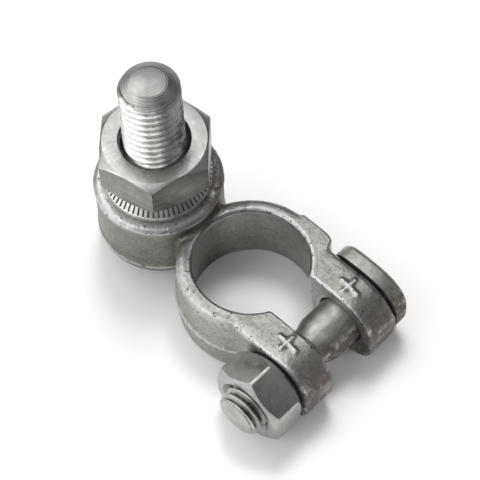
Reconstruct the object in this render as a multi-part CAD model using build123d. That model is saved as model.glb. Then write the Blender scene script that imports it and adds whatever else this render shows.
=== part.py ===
from build123d import *
import math
import os

# Battery terminal clamp with a threaded cable stud.
#
# The origin is on the axis of the post bore, at the collar's flat underside.
# +Z points up along the battery post, +Y from the post to the cable stud, and
# the clamp bolt lies along X, with its flat head at +X and its nut at -X.
# Lengths are in millimetres and angles in degrees.

# Collar, the split ring that grips the battery post
COLLAR_HEIGHT = 13.5
COLLAR_RADIUS = 12.1
POST_BORE_TOP_RADIUS = 9.25
POST_TAPER = 9.0                # one in nine, on the diameter
POST_BORE_CHAMFER = 0.4

# Mould: its halves meet at the parting line, and the lower one is wider
PARTING_HEIGHT = 5.4
PARTING_STEP = 0.15
DRAFT_ANGLE = 1.0

# Ears, drawn together by the clamp bolt
EAR_GAP = 8.7
EAR_THICKNESS = 6.0
EAR_REACH = 21.7                # from the post axis to the ears' ends
EAR_NOSE_RADIUS = 6.6
EAR_NOSE_SETBACK = 6.4          # from the ears' ends back to the nose's centre
EAR_FOOT_LAND = 0.2             # upright below the parting line, above the round foot
EAR_ROOT_FILLET = 1.5

# Shoulder that keeps the flat bolt head from turning
SHOULDER_CORNER_RADIUS = 2.0

# Boss that carries the cable stud
BOSS_RADIUS = 10.4
BOSS_OVERLAP = 2.1              # how far the boss is let into the collar
BOSS_TOP = 16.3
BOSS_BOTTOM = 3.0

# Eased edges of the casting
UPPER_BEVEL = 0.6
LOWER_BEVEL = 0.5
GAP_BEVEL = 0.4
BOSS_TOP_BEVEL = 0.6
BOSS_BOTTOM_BEVEL = 1.1
BEVEL_ANGLE = 45.0

# Clamp bolt, M8
BOLT_SETBACK = 6.7              # from the ears' ends back to the bolt axis
BOLT_HEIGHT = 7.2               # of the bolt axis above the underside
BOLT_SHANK_RADIUS = 4.05
BOLT_THREAD_RADIUS = 3.95
BOLT_NECK_RADIUS = 3.5
BOLT_HOLE_CLEARANCE = 0.2
BOLT_SHANK_REACH = 4.65         # of the full shank into the gap, past the head side's ear
BOLT_NECK_TAPER = 1.8
BOLT_NECK_LENGTH = 1.0
BOLT_THREAD_RUNOUT = 0.45
BOLT_END_PROJECTION = 2.2       # past the clamp nut's outer face
BOLT_END_CHAMFER = 0.55
BOLT_HEAD_THICKNESS = 2.85
BOLT_HEAD_HEIGHT = 12.2
BOLT_HEAD_NOSE_RADIUS = 6.6
BOLT_HEAD_REACH = 6.4           # from the bolt axis to the head's rounded end
BOLT_HEAD_BACK = 6.95           # from the bolt axis to the head's straight end
BOLT_HEAD_PLAY = 0.75           # between the head and the shoulder
BOLT_HEAD_BEVEL = 0.8
BOLT_HEAD_CORNER_RADIUS = 2.8

# Clamp nut, M8, with worn corners
CLAMP_NUT_FLATS = 12.7
CLAMP_NUT_THICKNESS = 6.5
CLAMP_NUT_CORNER_RADIUS = 7.19
CLAMP_NUT_FACE_RADIUS = 5.95
CLAMP_NUT_SEAT_RADIUS = 5.6
CLAMP_NUT_ANGLE = 34.0          # of one corner, from +Y towards +Z

# Cable stud, M10, with a round head let into the boss from below
STUD_RADIUS = 4.93
STUD_TOP = 42.4
STUD_CHAMFER_HEIGHT = 1.53
STUD_END_RADIUS = 2.83
STUD_HEAD_RADIUS = 7.5
STUD_HEAD_THICKNESS = 4.0
STUD_HEAD_CHAMFER = 0.5
STUD_HOLE_CLEARANCE = 0.07
STUD_HEAD_CLEARANCE = 0.15

# Ribbed conical lock washer on the stud
WASHER_RADIUS = 8.75
WASHER_RIM = 1.15
WASHER_LEDGE = 0.15
WASHER_HEIGHT = 2.77
WASHER_TOP_RADIUS = 7.45
WASHER_HOLE_RADIUS = 5.35
WASHER_THICKNESS = 1.5          # at the hole
WASHER_FOOT_WIDTH = 0.9
RIB_COUNT = 64
RIB_GROOVE_WIDTH = 0.46
RIB_GROOVE_DEPTH = 0.26

# Stud nut, M10
STUD_NUT_FLATS = 17.0
STUD_NUT_THICKNESS = 8.0
STUD_NUT_FACE_RADIUS = 8.27
STUD_NUT_SEAT_RADIUS = 7.5
STUD_NUT_ANGLE = 42.5           # of one corner, from +X towards +Y

# Both nuts
THREAD_CLEARANCE = 0.05         # radial, between a nut and its thread
NUT_FACE_CHAMFER_ANGLE = 35.0
NUT_SEAT_CHAMFER_ANGLE = 42.0
NUT_COUNTERSINK = 0.85

# Places that follow from the sizes
EAR_INNER_X = EAR_GAP / 2
EAR_OUTER_X = EAR_INNER_X + EAR_THICKNESS
EAR_SEAT_X = EAR_OUTER_X + PARTING_STEP
EAR_FOOT_RADIUS = PARTING_HEIGHT - EAR_FOOT_LAND
BOLT_DISTANCE = EAR_REACH - BOLT_SETBACK
SHOULDER_LENGTH = BOLT_DISTANCE - BOLT_HEAD_BACK - BOLT_HEAD_PLAY
STUD_DISTANCE = COLLAR_RADIUS + BOSS_RADIUS - BOSS_OVERLAP
WASHER_SEAT = BOSS_TOP
STUD_NUT_SEAT = WASHER_SEAT + WASHER_HEIGHT

# Room that a cutting shape runs past the solid that it cuts
OVERCUT = 1.0
# Largest error allowed when an edge is told by its place
NEAR = 0.01


def turned(*points):
    """A solid turned about Z from the (radius, height) corners of its section."""
    section = make_face(Polyline(*points, close=True))
    return revolve(Plane.XZ * section, axis=Axis.Z)


def bolt_axis(x, towards):
    """The plane across the clamp bolt at x, with its normal along +X or -X."""
    return Plane(origin=(x, -BOLT_DISTANCE, BOLT_HEIGHT), x_dir=(0, 1, 0), z_dir=(towards, 0, 0))


# --- The casting -----------------------------------------------------------


def shoulder_outline(growth):
    """Plan of the block beside the collar that the bolt head stands against."""
    width = COLLAR_RADIUS + growth
    length = SHOULDER_LENGTH + growth
    block = Pos(width / 2, -length / 2) * Rectangle(width, length)
    free_corner = block.vertices().sort_by(Axis.Y)[:2].sort_by(Axis.X)[-1:]
    return fillet(free_corner, SHOULDER_CORNER_RADIUS)


def collar_outline(growth):
    """Plan of the collar, its ears and the shoulder, before the bore and the gap."""
    side = EAR_OUTER_X + growth
    ears = Pos(0, -EAR_REACH / 2) * Rectangle(2 * side, EAR_REACH)
    outline = Circle(COLLAR_RADIUS + growth) + ears + shoulder_outline(growth)
    ear_roots = [
        corner for corner in outline.vertices()
        if abs(abs(corner.X) - side) < NEAR and corner.Y > NEAR - EAR_REACH
    ]
    return fillet(ear_roots, EAR_ROOT_FILLET)


def side_profile():
    """The casting seen along the bolt: flat below and above, round at the ears' ends."""
    length = EAR_REACH + COLLAR_RADIUS + OVERCUT
    slab = Pos(length / 2 - EAR_REACH, COLLAR_HEIGHT / 2) * Rectangle(length, COLLAR_HEIGHT)
    foot = slab.vertices().sort_by(Axis.X)[:2].sort_by(Axis.Y)[:1]
    slab = fillet(foot, EAR_FOOT_RADIUS)
    nose_y = EAR_NOSE_SETBACK - EAR_REACH
    nose_z = COLLAR_HEIGHT - EAR_NOSE_RADIUS
    nose = Pos(nose_y, nose_z) * Circle(EAR_NOSE_RADIUS)
    corner = Pos(nose_y, nose_z) * Rectangle(
        EAR_NOSE_SETBACK, EAR_NOSE_RADIUS, align=(Align.MAX, Align.MIN)
    )
    return slab - (corner - nose)


def outer_rim(half):
    """The edges round a collar half's flat face and down its ears' ends."""
    rim = []
    for edge in half.edges():
        middle = edge @ 0.5
        direction = edge % 0.5
        at_parting = abs(middle.Z - PARTING_HEIGHT) < NEAR
        across = edge.geom_type == GeomType.LINE and abs(direction.X) > 1 - NEAR
        upright = edge.geom_type == GeomType.LINE and abs(direction.Z) > abs(direction.X)
        at_end = middle.Y < EAR_FOOT_RADIUS - EAR_REACH
        if not at_parting and not across and (at_end or not upright):
            rim.append(edge)
    return rim


def collar_halves():
    """The solid collar and ears as cast: two drafted halves that meet in a parting line."""
    half_depth = COLLAR_RADIUS + PARTING_STEP + OVERCUT
    side = extrude(Plane.YZ * side_profile(), amount=half_depth, both=True)
    above = COLLAR_HEIGHT - PARTING_HEIGHT
    upper = extrude(collar_outline(0), amount=above, taper=DRAFT_ANGLE)
    upper = (Pos(0, 0, PARTING_HEIGHT) * upper) & side
    upper = chamfer(outer_rim(upper), UPPER_BEVEL)
    lower = extrude(collar_outline(PARTING_STEP), amount=PARTING_HEIGHT, taper=DRAFT_ANGLE)
    lower = (Pos(0, 0, PARTING_HEIGHT) * mirror(lower, about=Plane.XY)) & side
    lower = chamfer(outer_rim(lower), LOWER_BEVEL)
    return upper + lower


def boss():
    """The round boss of the cable stud, with the same parting line as the collar."""
    lower_radius = BOSS_RADIUS + PARTING_STEP
    draft = (PARTING_HEIGHT - BOSS_BOTTOM) * math.tan(math.radians(DRAFT_ANGLE))
    return Pos(0, STUD_DISTANCE, 0) * turned(
        (0, BOSS_BOTTOM),
        (lower_radius - draft - BOSS_BOTTOM_BEVEL, BOSS_BOTTOM),
        (lower_radius - draft, BOSS_BOTTOM + BOSS_BOTTOM_BEVEL),
        (lower_radius, PARTING_HEIGHT),
        (BOSS_RADIUS, PARTING_HEIGHT),
        (BOSS_RADIUS, BOSS_TOP - BOSS_TOP_BEVEL),
        (BOSS_RADIUS - BOSS_TOP_BEVEL, BOSS_TOP),
        (0, BOSS_TOP),
    )


def ear_gap():
    """The slot between the ears, which runs into the post bore."""
    length = EAR_REACH + OVERCUT
    height = COLLAR_HEIGHT + 2 * OVERCUT
    return Pos(0, 0, -OVERCUT) * Box(
        EAR_GAP, length, height, align=(Align.CENTER, Align.MAX, Align.MIN)
    )


def gap_edges(casting, face_x):
    """One ear's upper edge along the gap, over the top and down the nose."""
    edges = []
    for edge in casting.edges():
        middle = edge @ 0.5
        direction = edge % 0.5
        on_face = abs(middle.X - face_x) < NEAR and abs(direction.X) < NEAR
        over_top = middle.Z > COLLAR_HEIGHT - EAR_NOSE_RADIUS
        upright = abs(direction.Z) > 1 - NEAR
        if on_face and over_top and not upright:
            edges.append(edge)
    return edges


def post_bore():
    """The tapered hole for the battery post, narrow end up, with a chamfered mouth."""
    slope = 1 / POST_TAPER / 2
    mouth = POST_BORE_TOP_RADIUS + POST_BORE_CHAMFER
    return turned(
        (0, -OVERCUT),
        (POST_BORE_TOP_RADIUS + (COLLAR_HEIGHT + OVERCUT) * slope, -OVERCUT),
        (POST_BORE_TOP_RADIUS + POST_BORE_CHAMFER * slope, COLLAR_HEIGHT - POST_BORE_CHAMFER),
        (mouth, COLLAR_HEIGHT),
        (mouth + OVERCUT, COLLAR_HEIGHT + OVERCUT),
        (0, COLLAR_HEIGHT + OVERCUT),
    )


def bolt_hole():
    """The plain hole through both ears."""
    length = 2 * (EAR_OUTER_X + OVERCUT)
    return bolt_axis(0, 1) * Cylinder(BOLT_SHANK_RADIUS + BOLT_HOLE_CLEARANCE, length)


def stud_hole():
    """The stepped hole through the boss that the cable stud sits in."""
    hole = STUD_RADIUS + STUD_HOLE_CLEARANCE
    recess = STUD_HEAD_RADIUS + STUD_HEAD_CLEARANCE
    ceiling = BOSS_BOTTOM + STUD_HEAD_THICKNESS
    return Pos(0, STUD_DISTANCE, 0) * turned(
        (0, BOSS_BOTTOM - OVERCUT),
        (recess, BOSS_BOTTOM - OVERCUT),
        (recess, ceiling),
        (hole, ceiling),
        (hole, BOSS_TOP + OVERCUT),
        (0, BOSS_TOP + OVERCUT),
    )


def clamp_body():
    """Collar, ears, shoulder and boss in one casting."""
    casting = collar_halves() - ear_gap()
    for face_x in (-EAR_INNER_X, EAR_INNER_X):
        casting = chamfer(gap_edges(casting, face_x), GAP_BEVEL)
    return casting + boss() - post_bore() - bolt_hole() - stud_hole()


# --- The cable stud and what is on it --------------------------------------


def stud():
    """The cable stud, headed below and pointed by a chamfer."""
    underside = BOSS_BOTTOM
    ceiling = underside + STUD_HEAD_THICKNESS
    return Pos(0, STUD_DISTANCE, 0) * turned(
        (0, underside),
        (STUD_HEAD_RADIUS - STUD_HEAD_CHAMFER, underside),
        (STUD_HEAD_RADIUS, underside + STUD_HEAD_CHAMFER),
        (STUD_HEAD_RADIUS, ceiling),
        (STUD_RADIUS, ceiling),
        (STUD_RADIUS, STUD_TOP - STUD_CHAMFER_HEIGHT),
        (STUD_END_RADIUS, STUD_TOP),
        (0, STUD_TOP),
    )


def rib_groove():
    """One groove between two ribs: a vee along the washer's cone, in the XZ plane."""
    foot = Vector(WASHER_RADIUS - WASHER_LEDGE, 0, WASHER_RIM)
    head = Vector(WASHER_TOP_RADIUS, 0, WASHER_HEIGHT)
    slant = head - foot
    across = Plane(origin=foot, x_dir=(0, 1, 0), z_dir=slant)
    outward = across.y_dir.X / abs(across.y_dir.X)
    half_width = RIB_GROOVE_WIDTH / 2
    vee = make_face(Polyline(
        (-half_width, 0),
        (0, -outward * RIB_GROOVE_DEPTH),
        (half_width, 0),
        (half_width, outward * RIB_GROOVE_DEPTH),
        (-half_width, outward * RIB_GROOVE_DEPTH),
        close=True,
    ))
    return extrude(across * vee, amount=slant.length + OVERCUT)


def stud_washer():
    """The dished lock washer, ribbed all round its cone."""
    washer = turned(
        (WASHER_RADIUS - WASHER_FOOT_WIDTH, 0),
        (WASHER_RADIUS, 0),
        (WASHER_RADIUS, WASHER_RIM),
        (WASHER_RADIUS - WASHER_LEDGE, WASHER_RIM),
        (WASHER_TOP_RADIUS, WASHER_HEIGHT),
        (WASHER_HOLE_RADIUS, WASHER_HEIGHT),
        (WASHER_HOLE_RADIUS, WASHER_HEIGHT - WASHER_THICKNESS),
    )
    groove = rib_groove()
    grooves = [Rot(0, 0, index * 360 / RIB_COUNT) * groove for index in range(RIB_COUNT)]
    return Pos(0, STUD_DISTANCE, WASHER_SEAT) * (washer - grooves)


# --- The nuts --------------------------------------------------------------


def hex_nut(flats, thickness, corner_radius, seat_radius, face_radius, thread_radius, angle):
    """A hexagon nut standing on its seat at Z = 0, chamfered at both ends, countersunk above."""
    hexagon = RegularPolygon(flats / 2, 6, major_radius=False, rotation=angle)
    blank = extrude(hexagon, amount=thickness)
    seat_rise = (corner_radius - seat_radius) * math.tan(math.radians(NUT_SEAT_CHAMFER_ANGLE))
    face_drop = (corner_radius - face_radius) * math.tan(math.radians(NUT_FACE_CHAMFER_ANGLE))
    envelope = turned(
        (0, 0),
        (seat_radius, 0),
        (corner_radius, seat_rise),
        (corner_radius, thickness - face_drop),
        (face_radius, thickness),
        (0, thickness),
    )
    hole = thread_radius + THREAD_CLEARANCE
    mouth = hole + NUT_COUNTERSINK
    bore = turned(
        (0, -OVERCUT),
        (hole, -OVERCUT),
        (hole, thickness - NUT_COUNTERSINK),
        (mouth, thickness),
        (mouth, thickness + OVERCUT),
        (0, thickness + OVERCUT),
    )
    return (blank & envelope) - bore


def stud_nut():
    """The nut that clamps a cable lug on the stud."""
    sharp_corner = STUD_NUT_FLATS / math.sqrt(3)
    nut = hex_nut(
        STUD_NUT_FLATS, STUD_NUT_THICKNESS, sharp_corner,
        STUD_NUT_SEAT_RADIUS, STUD_NUT_FACE_RADIUS, STUD_RADIUS, STUD_NUT_ANGLE,
    )
    return Pos(0, STUD_DISTANCE, STUD_NUT_SEAT) * nut


def clamp_nut():
    """The nut that draws the ears together, seated on the ear at -X."""
    nut = hex_nut(
        CLAMP_NUT_FLATS, CLAMP_NUT_THICKNESS, CLAMP_NUT_CORNER_RADIUS,
        CLAMP_NUT_SEAT_RADIUS, CLAMP_NUT_FACE_RADIUS, BOLT_THREAD_RADIUS, -CLAMP_NUT_ANGLE,
    )
    return bolt_axis(-EAR_SEAT_X, -1) * nut


# --- The clamp bolt --------------------------------------------------------


def bolt_head():
    """The flat head: straight against the shoulder, round like the ear at its other end."""
    length = BOLT_HEAD_BACK + BOLT_HEAD_REACH
    plate = Rectangle(length, BOLT_HEAD_HEIGHT, align=(Align.MIN, Align.CENTER))
    plate = Pos(-BOLT_HEAD_REACH, 0) * plate
    nose_end = Circle(BOLT_HEAD_NOSE_RADIUS)
    nose_end += Rectangle(BOLT_HEAD_BACK, BOLT_HEAD_HEIGHT, align=(Align.MIN, Align.CENTER))
    outline = plate & nose_end
    back_corners = outline.vertices().sort_by(Axis.X)[-2:]
    outline = fillet(back_corners, BOLT_HEAD_CORNER_RADIUS)
    edge = BOLT_HEAD_THICKNESS - BOLT_HEAD_BEVEL
    bevel = extrude(Pos(0, 0, edge) * outline, amount=BOLT_HEAD_BEVEL, taper=BEVEL_ANGLE)
    return extrude(outline, amount=edge) + bevel


def bolt_shank():
    """The shank and the thread below the head at Z = 0, with the neck between them."""
    shank = EAR_SEAT_X - EAR_INNER_X + BOLT_SHANK_REACH
    neck = shank + BOLT_NECK_TAPER
    runout = neck + BOLT_NECK_LENGTH
    thread = runout + BOLT_THREAD_RUNOUT
    end = EAR_SEAT_X * 2 + CLAMP_NUT_THICKNESS + BOLT_END_PROJECTION
    return turned(
        (0, 0),
        (BOLT_SHANK_RADIUS, 0),
        (BOLT_SHANK_RADIUS, -shank),
        (BOLT_NECK_RADIUS, -neck),
        (BOLT_NECK_RADIUS, -runout),
        (BOLT_THREAD_RADIUS, -thread),
        (BOLT_THREAD_RADIUS, BOLT_END_CHAMFER - end),
        (BOLT_THREAD_RADIUS - BOLT_END_CHAMFER, -end),
        (0, -end),
    )


def clamp_bolt():
    """The bolt through both ears, its flat head seated on the ear at +X."""
    return bolt_axis(EAR_SEAT_X, 1) * (bolt_head() + bolt_shank())


PARTS = {
    "clamp_body": clamp_body,
    "stud": stud,
    "stud_washer": stud_washer,
    "stud_nut": stud_nut,
    "clamp_bolt": clamp_bolt,
    "clamp_nut": clamp_nut,
}


def main():
    os.makedirs("parts", exist_ok=True)
    for name, make in PARTS.items():
        export_step(make(), f"parts/{name}.step")


main()
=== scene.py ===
# %% [markdown]
# # A battery terminal clamp
#
# The clamp is a tinned casting that grips a battery post, with a plated
# M10 stud for the cable and an M8 bolt that draws its two ears together.
# The solids of the part are loaded first, as a frame. Each piece that is
# made here stands where its solid does, in metres, with +Z up the post.

# %% Load the frame
import bpy
import math
from mathutils import Matrix, Vector


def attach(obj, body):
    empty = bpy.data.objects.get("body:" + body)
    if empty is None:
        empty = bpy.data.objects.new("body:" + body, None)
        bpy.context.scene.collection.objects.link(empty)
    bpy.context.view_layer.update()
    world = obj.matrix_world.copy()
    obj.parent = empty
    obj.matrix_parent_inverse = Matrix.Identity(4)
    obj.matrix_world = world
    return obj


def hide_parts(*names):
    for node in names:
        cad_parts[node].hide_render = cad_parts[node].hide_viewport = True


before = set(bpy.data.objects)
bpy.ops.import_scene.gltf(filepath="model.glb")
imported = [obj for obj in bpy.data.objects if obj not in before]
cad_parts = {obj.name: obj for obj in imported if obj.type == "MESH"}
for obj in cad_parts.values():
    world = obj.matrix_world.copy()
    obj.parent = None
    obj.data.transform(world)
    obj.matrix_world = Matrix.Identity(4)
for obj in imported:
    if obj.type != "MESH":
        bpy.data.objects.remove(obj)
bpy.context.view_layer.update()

# %% [markdown]
# ## Sizes
#
# Blender works in metres and the clamp is a few centimetres long, so the
# sizes are written in millimetres and turned into metres once. They repeat
# the sizes of the solids, because each piece here stands for one of them.

# %% Sizes in millimetres
MM = 0.001
COLLAR_HEIGHT = 13.5
COLLAR_RADIUS = 12.1
BORE_TOP = 9.25
BORE_BOTTOM = 10.0
PARTING_HEIGHT = 5.4
PARTING_STEP = 0.15
EAR_INNER = 4.35
EAR_OUTER = 10.35
EAR_REACH = 21.7
BOLT_Y = -15.0
BOLT_Z = 7.2
STUD_Y = 20.4
BOSS_RADIUS = 10.4
BOSS_TOP = 16.3
BOSS_BOTTOM = 3.0
WASHER_HEIGHT = 2.77
STUD_TOP = 42.4
NUT_SEAT = BOSS_TOP + WASHER_HEIGHT
print("the stud nut sits at", NUT_SEAT, "mm")

# %% [markdown]
# ## Small helpers
#
# Every piece is modelled with the operators that the menus call. They act
# on whatever is selected, so each helper first selects only its own piece.
# Doubles are merged far below Blender's usual distance, because a tenth of
# a millimetre is a large step on this part.

# %% Select, apply and place
MERGE = 1e-6


def take(*pieces):
    """Select these pieces only, and make the first one active."""
    bpy.ops.object.select_all(action="DESELECT")
    for piece in pieces:
        piece.select_set(True)
    bpy.context.view_layer.objects.active = pieces[0]


def edit(piece, mode="VERT"):
    """Open a piece in edit mode with nothing selected."""
    take(piece)
    bpy.ops.object.mode_set(mode="EDIT")
    bpy.ops.mesh.select_mode(type=mode)
    bpy.ops.mesh.select_all(action="DESELECT")


def done():
    bpy.ops.object.mode_set(mode="OBJECT")


def edit_where(piece, mode, wanted):
    """Open a piece in edit mode with only the edges or faces selected that pass a test."""
    edit(piece, mode)
    done()
    for part in (piece.data.edges if mode == "EDGE" else piece.data.polygons):
        part.select = wanted(part)
    take(piece)
    bpy.ops.object.mode_set(mode="EDIT")


def apply_modifiers(piece):
    take(piece)
    for modifier in list(piece.modifiers):
        bpy.ops.object.modifier_apply(modifier=modifier.name)


def place(piece, location=(0, 0, 0), turn=(0, 0, 0)):
    """Turn and move a piece, and put its place into its mesh."""
    take(piece)
    piece.rotation_euler = [math.radians(v) for v in turn]
    piece.location = [v * MM for v in location]
    bpy.ops.object.transform_apply(location=True, rotation=True, scale=True)


def clean(piece):
    """Merge doubles and point every face outwards."""
    edit(piece)
    bpy.ops.mesh.select_all(action="SELECT")
    bpy.ops.mesh.remove_doubles(threshold=MERGE)
    bpy.ops.mesh.normals_make_consistent(inside=False)
    done()


def smooth(piece, degrees):
    """Shade smooth, but keep the edges sharp that turn by more than an angle."""
    take(piece)
    bpy.ops.object.shade_smooth_by_angle(angle=math.radians(degrees))


def report(piece):
    low = [round(min(v.co[i] for v in piece.data.vertices) / MM, 2) for i in range(3)]
    high = [round(max(v.co[i] for v in piece.data.vertices) / MM, 2) for i in range(3)]
    print(piece.name, len(piece.data.polygons), "faces, from", low, "to", high, "mm")


# %% [markdown]
# ## Turned and extruded shapes
#
# Studs, washers and bores are turned on a lathe, so they are made the same
# way: one point is extruded along the section, and the section is spun
# round Z. Plates are made by filling such a line and extruding the face.

# %% Draw a section, spin it or fill it
AXES = {"XZ": (0, 2, 1), "XY": (0, 1, 2), "YZ": (1, 2, 0)}
FINE_STEPS = 192
HOLE_STEPS = 96


def draw(name, points, plane="XZ"):
    """A line through points of a plane, made by extruding one vertex."""
    across, up, _ = AXES[plane]

    def step(a, b):
        move = [0, 0, 0]
        move[across] = a * MM
        move[up] = b * MM
        return move

    bpy.ops.object.select_all(action="DESELECT")
    bpy.ops.mesh.primitive_plane_add(size=MM, location=(0, 0, 0))
    piece = bpy.context.active_object
    piece.name = name
    edit(piece)
    bpy.ops.mesh.select_all(action="SELECT")
    bpy.ops.mesh.merge(type="CENTER")
    bpy.ops.transform.translate(value=step(*points[0]))
    for (a0, b0), (a1, b1) in zip(points, points[1:]):
        bpy.ops.mesh.extrude_region_move(
            TRANSFORM_OT_translate={"value": step(a1 - a0, b1 - b0)}
        )
    done()
    return piece


def turned(name, points, steps=128):
    """A solid of revolution about Z from its (radius, height) section."""
    piece = draw(name, points)
    edit(piece)
    bpy.ops.mesh.select_all(action="SELECT")
    bpy.ops.mesh.spin(steps=steps, angle=2 * math.pi, center=(0, 0, 0), axis=(0, 0, 1))
    done()
    clean(piece)
    return piece


def plate(name, points, plane, low, high):
    """An outline in a plane, filled and extruded from low to high along the third axis."""
    normal = AXES[plane][2]
    piece = draw(name, points, plane)
    edit(piece)
    bpy.ops.mesh.select_all(action="SELECT")
    bpy.ops.mesh.edge_face_add()
    start = [0, 0, 0]
    start[normal] = low * MM
    bpy.ops.transform.translate(value=start)
    depth = [0, 0, 0]
    depth[normal] = (high - low) * MM
    bpy.ops.mesh.extrude_region_move(TRANSFORM_OT_translate={"value": depth})
    done()
    clean(piece)
    return piece


def arc(x, y, radius, start, end, steps=16):
    """Points round a centre, from one angle to another."""
    angles = [math.radians(start + (end - start) * i / steps) for i in range(steps + 1)]
    return [(x + radius * math.cos(a), y + radius * math.sin(a)) for a in angles]


def bevel_edges(piece, wanted, width, segments=4):
    """Round the edges whose two ends both pass the test, which is in millimetres."""

    def both_ends(edge):
        return all(wanted(piece.data.vertices[i].co / MM) for i in edge.vertices)

    edit_where(piece, "EDGE", both_ends)
    bpy.ops.mesh.bevel(offset=width * MM, segments=segments, affect="EDGES")
    done()


def boolean(piece, other, operation):
    """Add, cut or keep the other shape, which is used up."""
    modifier = piece.modifiers.new("boolean", "BOOLEAN")
    modifier.operation = operation
    modifier.solver = "EXACT"
    modifier.object = other
    apply_modifiers(piece)
    bpy.data.objects.remove(other, do_unlink=True)


def merge(name, pieces):
    """Join pieces into one object."""
    take(*pieces)
    bpy.ops.object.join()
    pieces[0].name = name
    return pieces[0]


# %% [markdown]
# ## The camera
#
# The clamp is seen from above its nut side, with a long lens. The camera's
# back and right directions come from its azimuth and elevation, and it
# stands one working distance away from the point that it looks at.

# %% Camera
AZIMUTH, ELEVATION, ROLL = -43.3, 58.7, -3.05
DISTANCE = 369.2
AIM = Vector((3.82, 6.31, 8.0))
LENS = 172.5
SENSOR_WIDTH = 36.0


def direction(azimuth, elevation):
    """The way out from the clamp, by two angles; azimuth 0 is in front and 90 on the right."""
    a, e = math.radians(azimuth), math.radians(elevation)
    return Vector((math.sin(a) * math.cos(e), -math.cos(a) * math.cos(e), math.sin(e)))


back = direction(AZIMUTH, ELEVATION)
right = direction(AZIMUTH + 90, 0)
up = back.cross(right)
roll = math.radians(ROLL)
right_rolled = right * math.cos(roll) + up * math.sin(roll)
up_rolled = up * math.cos(roll) - right * math.sin(roll)

camera = bpy.data.objects.new("camera", bpy.data.cameras.new("camera"))
bpy.context.scene.collection.objects.link(camera)
camera.data.lens = LENS
camera.data.sensor_width = SENSOR_WIDTH
camera.data.clip_start = 0.01
turn = Matrix((right_rolled, up_rolled, back)).transposed()
camera.matrix_world = Matrix.Translation((AIM + back * DISTANCE) * MM) @ turn.to_4x4()
bpy.context.scene.camera = camera
print("camera stands at", [round(v, 3) for v in camera.matrix_world.translation])

# %% [markdown]
# ## Floor and light
#
# Bare metal shows its surroundings more than its own colour. Soft panels
# stand on the left and behind, some low and some high, and give every
# round form a bright side. The right and the front get only weak ones, so
# that form reads. Two more lamps light the table: one lays the shadow down
# to the left, and the other softens it. The metal doesn't mirror these two.

# %% Floor
FLOOR_METRES = 4
FLOOR_WHITE = 0.85

bpy.ops.object.select_all(action="DESELECT")
bpy.ops.mesh.primitive_plane_add(size=FLOOR_METRES, location=(0, 0, 0))
floor = bpy.context.active_object
floor.name = "floor"

floor_look = bpy.data.materials.new("white_table")
floor_look.use_nodes = True
floor_shader = floor_look.node_tree.nodes["Principled BSDF"]
floor_shader.inputs["Base Color"].default_value = (FLOOR_WHITE, FLOOR_WHITE, FLOOR_WHITE, 1)
floor_shader.inputs["Roughness"].default_value = 0.9
floor_shader.inputs["Specular IOR Level"].default_value = 0.1
floor.data.materials.append(floor_look)
print("floor laid,", FLOOR_METRES, "m wide")

# %% Lamps and world
bpy.context.scene.view_settings.view_transform = "Standard"
AIR_COLOUR = (1.0, 0.99, 0.97, 1)
AIR_STRENGTH = 0.11


def lamp(name, azimuth, elevation, width, height, watts, distance=0.60):
    """A soft light that faces the clamp, with its size and distance in metres."""
    light = bpy.data.lights.new(name, "AREA")
    light.shape = "RECTANGLE"
    light.size = width
    light.size_y = height
    light.energy = watts
    holder = bpy.data.objects.new(name, light)
    bpy.context.scene.collection.objects.link(holder)
    away = direction(azimuth, elevation)
    holder.location = away * distance
    holder.rotation_euler = away.to_track_quat("Z", "Y").to_euler()
    return holder


METAL_LAMPS = [
    ("left_low_light", -133, 18, 0.40, 0.80),
    ("left_back_light", -170, 48, 0.40, 1.10),
    ("left_light", -103, 48, 0.40, 0.97),
    ("left_side_light", -96, 18, 0.40, 0.52),
    ("front_light", -45, 18, 0.40, 0.12),
    ("back_light", 137, 68, 0.36, 0.83),
    ("right_light", 45, 48, 0.40, 0.13),
    ("front_high_light", -44, 60, 0.22, 0.22),
]
for name, azimuth, elevation, size, watts in METAL_LAMPS:
    lamp(name, azimuth, elevation, size, size, watts)
table_lamps = [
    lamp("table_light", 126, 66, 0.24, 0.24, 3.10, 0.80),
    lamp("fill_light", 25, 25, 0.40, 0.30, 0.90),
]
for holder in table_lamps:
    holder.visible_glossy = False

world = bpy.data.worlds.new("studio")
bpy.context.scene.world = world
world.use_nodes = True
air = world.node_tree.nodes["Background"]
air.inputs["Color"].default_value = AIR_COLOUR
air.inputs["Strength"].default_value = AIR_STRENGTH
print(len(METAL_LAMPS), "lamps on the metal and", len(table_lamps), "on the table")

# %% [markdown]
# ## Threads
#
# A screw thread is one tooth section carried up a helix. The Screw modifier
# does that from a section one pitch tall. The rod is cut off square, and
# what stands outside the turned blank is cut away, so that the thread fades
# out on the end's chamfer as a rolled or cut thread does.
#
# The tooth is a short list: how far out each point stands, as a share of
# the depth, and how far along it lies, as a share of the pitch.

# %% A threaded rod
TOOTH = [
    (0.00, 0.00), (0.00, 0.08), (0.10, 0.15), (0.78, 0.38), (0.94, 0.45),
    (1.00, 0.53), (0.94, 0.61), (0.78, 0.68), (0.10, 0.91), (0.00, 0.98), (0.00, 1.00),
]
THREAD_DEPTH = 0.58


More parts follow.
